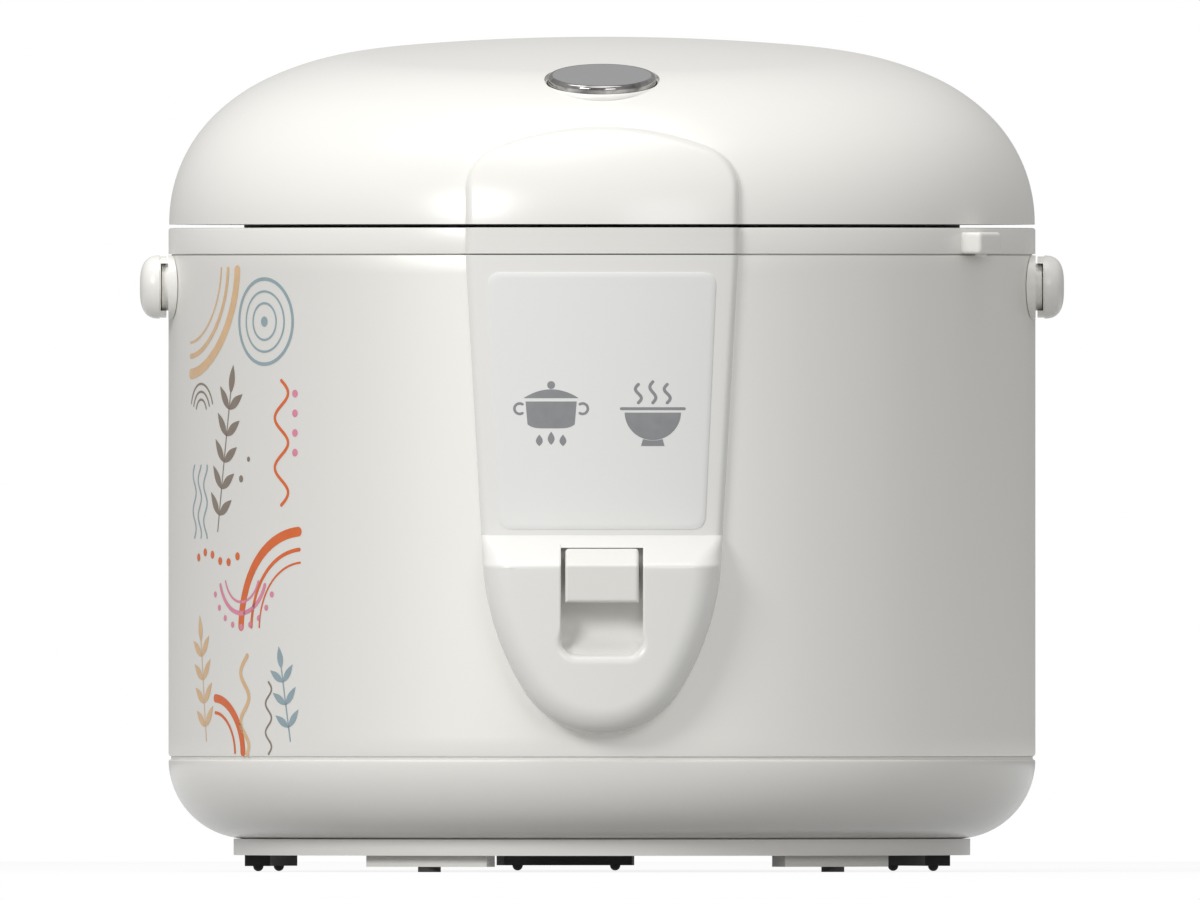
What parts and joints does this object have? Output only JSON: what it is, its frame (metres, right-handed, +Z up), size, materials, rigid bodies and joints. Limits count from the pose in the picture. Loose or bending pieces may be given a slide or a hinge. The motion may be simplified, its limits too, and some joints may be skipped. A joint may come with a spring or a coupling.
{
  "type": "rice cooker",
  "caption": "Round jar rice cooker with a domed hinged lid, lid button, front cooking lever, folding handle and removable dew cup.",
  "frame": {"origin": "on the cooker's axis, on the table that it stands on", "axes": "+Z up, -Y to the front with the cooking lever, +X to the right of a person in front of it"},
  "size_m": [0.2824, 0.296, 0.2552],
  "materials": {
    "cream_plastic": "smooth gloss",
    "jacket_paint": "gloss enamel",
    "panel_plastic": "smooth gloss",
    "label_film": "printed film",
    "lever_plastic": "smooth gloss",
    "button_metal": "brushed top, bright bevel",
    "rubber_black": "matt",
    "silicone": "matt",
    "steel": "bright",
    "pot_metal": "dark non-stick coat",
    "heater_metal": "cast",
    "sheet_metal": "plated sheet",
    "dark_plastic": "fine texture",
    "brass": "plain",
    "board": "solder mask",
    "lamp": "tinted",
    "clear_plastic": "smoky clear"
  },
  "bodies": {
    "cooker": {"base_housing": "cream_plastic", "bottom_plate": "cream_plastic", "front_foot_pads": "rubber_black", "rubber_feet": "rubber_black", "bottom_screws": "steel", "outer_jacket": "jacket_paint", "rim_ring": "cream_plastic", "inner_liner": "sheet_metal", "warming_band": "silicone", "heater_plate": "heater_metal", "heater_legs": "steel", "heater_terminals": "brass", "thermal_fuse": "steel", "inner_pot": "pot_metal", "thermostat_guide": "sheet_metal", "thermostat_spring": "steel", "lever_pin": "steel", "swing_bracket": "sheet_metal", "swing_pin": "steel", "cook_switch": "dark_plastic", "terminal_block": "dark_plastic", "front_panel": "panel_plastic", "panel_label": "label_film", "indicator_board": "board", "indicator_lamps": "lamp", "hinge_pin": "steel", "hinge_spring": "steel", "handle_boss_left": "cream_plastic", "handle_boss_right": "cream_plastic", "dew_cup_holder": "cream_plastic", "drain_chute": "cream_plastic", "inlet_socket": "dark_plastic", "inlet_pins": "brass"},
    "lid": {"lid_shell": "cream_plastic", "lid_liner": "cream_plastic", "inner_lid": "sheet_metal", "lid_gasket": "silicone", "lid_stud": "silicone", "button_well": "cream_plastic", "latch_pin": "steel", "vent_tube": "cream_plastic", "button_spring": "steel"},
    "button": {"lid_button": "button_metal"},
    "latch": {"latch_hook": "dark_plastic"},
    "vent": {"vent_cap": "cream_plastic"},
    "handle": {"carry_handle": "cream_plastic", "handle_arms": "cream_plastic", "handle_caps": "cream_plastic"},
    "lever": {"cook_lever": "lever_plastic"},
    "link": {"link_rod": "steel"},
    "swing": {"magnet_lever": "steel"},
    "magnet": {"magnet_plunger": "dark_plastic"},
    "thermostat": {"thermostat_cup": "sheet_metal"},
    "dew": {"dew_cup": "clear_plastic"}
  },
  "joints": [
    {"name": "lid_hinge", "type": "hinge", "parent": "cooker", "child": "lid", "pos_m": [0, 0.133, 0.198], "axis": [-1, 0, 0], "range_deg": [0, 85], "deforming": ["hinge_spring"]},
    {"name": "button_press", "type": "slide", "parent": "lid", "child": "button", "axis": [0, 0.2198, -0.9755], "range_m": [0, 0.003], "stiffness_N_per_m": 400, "springref_m": -0.001, "deforming": ["button_spring"]},
    {"name": "latch_swing", "type": "hinge", "parent": "lid", "child": "latch", "pos_m": [0, -0.116, 0.21], "axis": [-1, 0, 0], "range_deg": [0, 5.3]},
    {"name": "vent_lift", "type": "slide", "parent": "lid", "child": "vent", "axis": [0, 0, 1], "range_m": [0, 0.04]},
    {"name": "handle_swing", "type": "hinge", "parent": "cooker", "child": "handle", "pos_m": [0, -0.0185, 0.1786], "axis": [1, 0, 0], "range_deg": [0, 90]},
    {"name": "cook_lever_press", "type": "hinge", "parent": "cooker", "child": "lever", "pos_m": [0, -0.117, 0.09], "axis": [1, 0, 0], "range_deg": [0, 18]},
    {"name": "link_drop", "type": "slide", "parent": "cooker", "child": "link", "axis": [0, 0, -1], "range_m": [0, 0.00217], "stiffness_N_per_m": 2000, "springref_m": -0.0002},
    {"name": "magnet_lever_swing", "type": "hinge", "parent": "cooker", "child": "swing", "pos_m": [0, -0.075, 0.0285], "axis": [1, 0, 0], "range_deg": [0, 2.7]},
    {"name": "magnet_lift", "type": "slide", "parent": "cooker", "child": "magnet", "axis": [0, 0, 1], "range_m": [0, 0.0036]},
    {"name": "thermostat_press", "type": "slide", "parent": "cooker", "child": "thermostat", "axis": [0, 0, -1], "range_m": [0, 0.002], "stiffness_N_per_m": 500, "springref_m": -0.002, "deforming": ["thermostat_spring"]},
    {"name": "dew_cup_pull", "type": "slide", "parent": "cooker", "child": "dew", "axis": [0, 1, 0], "range_m": [0, 0.06]}
  ],
  "couplings": [
    {"joint": "latch_swing", "follows": "button_press", "rad_per_m": 30},
    {"joint": "cook_lever_press", "follows": "link_drop", "rad_per_m": 144.7},
    {"joint": "magnet_lever_swing", "follows": "link_drop", "rad_per_m": 20.4},
    {"joint": "magnet_lift", "follows": "link_drop", "ratio": 1.53}
  ]
}
